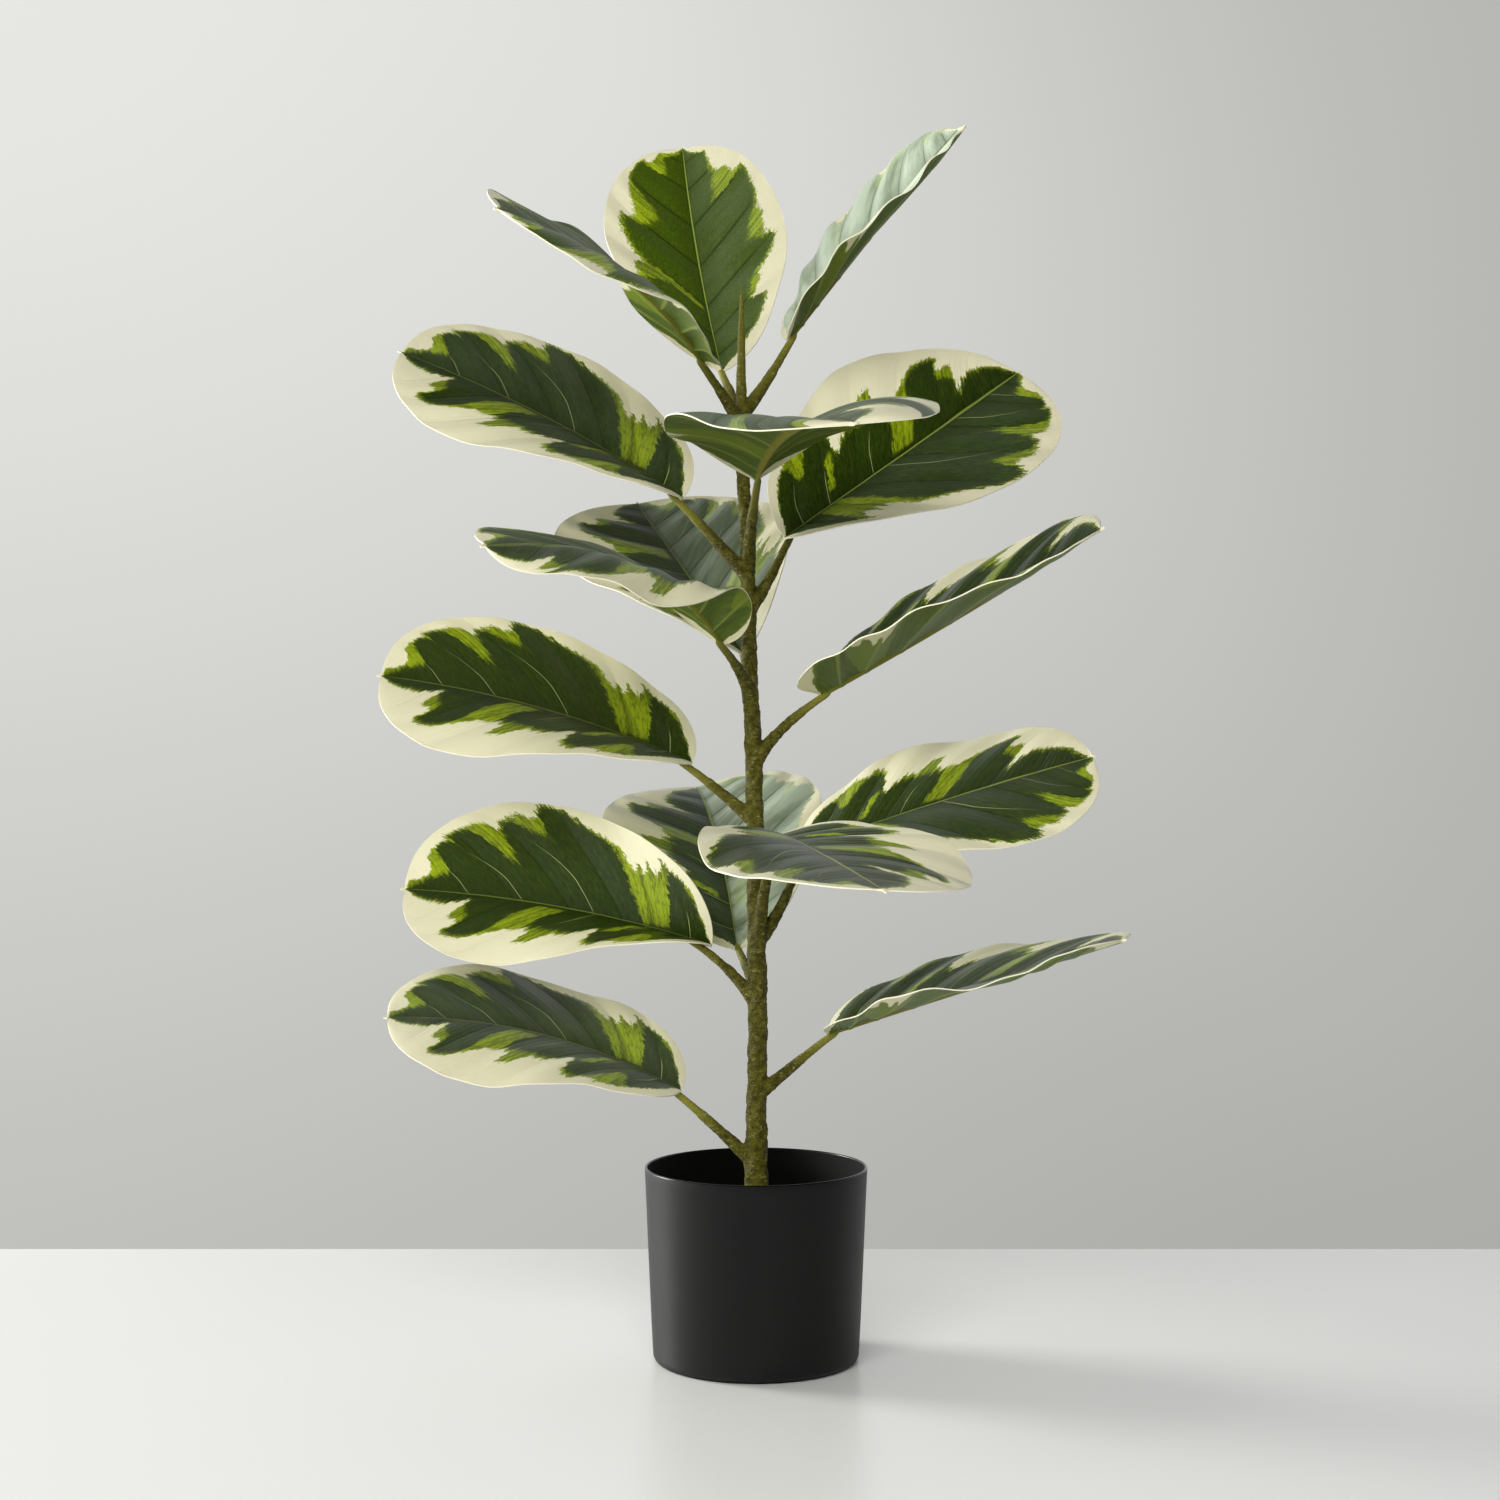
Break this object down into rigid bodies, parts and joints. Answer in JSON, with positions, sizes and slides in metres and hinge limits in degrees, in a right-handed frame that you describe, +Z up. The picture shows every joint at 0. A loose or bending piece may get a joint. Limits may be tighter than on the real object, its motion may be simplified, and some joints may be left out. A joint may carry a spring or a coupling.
{
  "type": "potted variegated fiddle leaf fig",
  "caption": "Upright single-stemmed foliage plant with large folded, waved leaves, dark green with pale ragged margins, in a round tapered pot.",
  "frame": {"origin": "centre of the pot's flat underside", "axes": "+Z up along the stem, +X to the plant's right as seen from its front, -Y towards the front"},
  "size_m": [0.4697, 0.4714, 0.803],
  "materials": {
    "leaf": "satin, dark green and lime with cream margins",
    "bark": "rough olive-brown bark, greener and smoother towards the leaves",
    "pot": "satin charcoal black",
    "soil": "dark, lumpy and dull"
  },
  "bodies": {
    "root": {"pot": "pot", "soil": "soil", "stem": "bark", "leaf_01": "leaf", "leaf_02": "leaf", "leaf_03": "leaf", "leaf_04": "leaf", "leaf_05": "leaf", "leaf_06": "leaf", "leaf_07": "leaf", "leaf_08": "leaf", "leaf_09": "leaf", "leaf_10": "leaf", "leaf_11": "leaf", "leaf_12": "leaf", "leaf_13": "leaf", "leaf_14": "leaf", "leaf_15": "leaf", "leaf_16": "leaf"}
  },
  "joints": []
}
